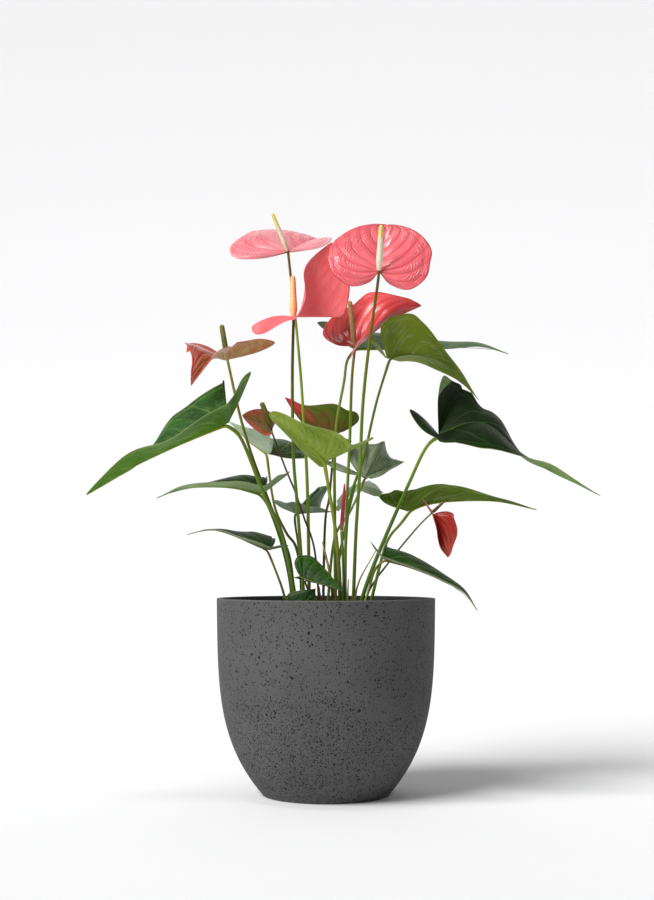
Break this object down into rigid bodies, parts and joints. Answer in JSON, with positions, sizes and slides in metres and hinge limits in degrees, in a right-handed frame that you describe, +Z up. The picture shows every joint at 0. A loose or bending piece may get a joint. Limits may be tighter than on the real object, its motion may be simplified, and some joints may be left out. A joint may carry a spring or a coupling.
{
  "type": "potted anthurium",
  "caption": "Potted flowering plant: heart-shaped leaves and glossy red spathes with spadices on slender stems, in a rounded grey stone-composite pot",
  "frame": {"origin": "centre of the pot's flat foot, on the surface it stands on", "axes": "+Z up along the pot's axis, -Y towards the viewer of the picture, +X to the viewer's right"},
  "size_m": [0.4604, 0.23, 0.5403],
  "materials": {
    "bud": "rolled crimson spathe, satin",
    "stem": "smooth green-brown stem",
    "leaf": "smooth green leaf with a satin sheen",
    "stone_composite": "matt cast stone composite with fine pits",
    "sheath": "dry papery sheath",
    "soil": "dark potting soil of bark and peat, loose crumbs",
    "spadix": "cream to yellow spike of fine florets",
    "spathe": "glossy coral red quilted spathe"
  },
  "bodies": {
    "root": {"bud_spathe": "bud", "bud_stem": "stem", "leaf_back_high": "leaf", "leaf_front": "leaf", "leaf_left_back": "leaf", "leaf_left_large": "leaf", "leaf_left_low": "leaf", "leaf_left_middle": "leaf", "leaf_middle_back": "leaf", "leaf_middle_wavy": "leaf", "leaf_right_back_low": "leaf", "leaf_right_high": "leaf", "leaf_right_large": "leaf", "leaf_right_low": "leaf", "leaf_right_middle": "leaf", "leaf_small_front": "leaf", "leaf_small_left": "leaf", "pot": "stone_composite", "sheath_brown": "sheath", "sheath_dry": "sheath", "sheath_pale": "sheath", "sheath_tall": "sheath", "sheath_yellow": "sheath", "soil": "soil", "spadix_far_left": "spadix", "spadix_middle_left": "spadix", "spadix_middle_right": "spadix", "spadix_old_middle": "spadix", "spadix_small_left": "spadix", "spadix_small_right": "spadix", "spadix_top_left": "spadix", "spadix_top_right": "spadix", "spathe_far_left": "spathe", "spathe_middle_left": "spathe", "spathe_middle_right": "spathe", "spathe_old_middle": "spathe", "spathe_small_left": "spathe", "spathe_small_right": "spathe", "spathe_top_left": "spathe", "spathe_top_right": "spathe", "stem_far_left": "stem", "stem_middle_left": "stem", "stem_middle_right": "stem", "stem_old_middle": "stem", "stem_small_left": "stem", "stem_small_right": "stem", "stem_top_left": "stem", "stem_top_right": "stem"}
  },
  "joints": []
}
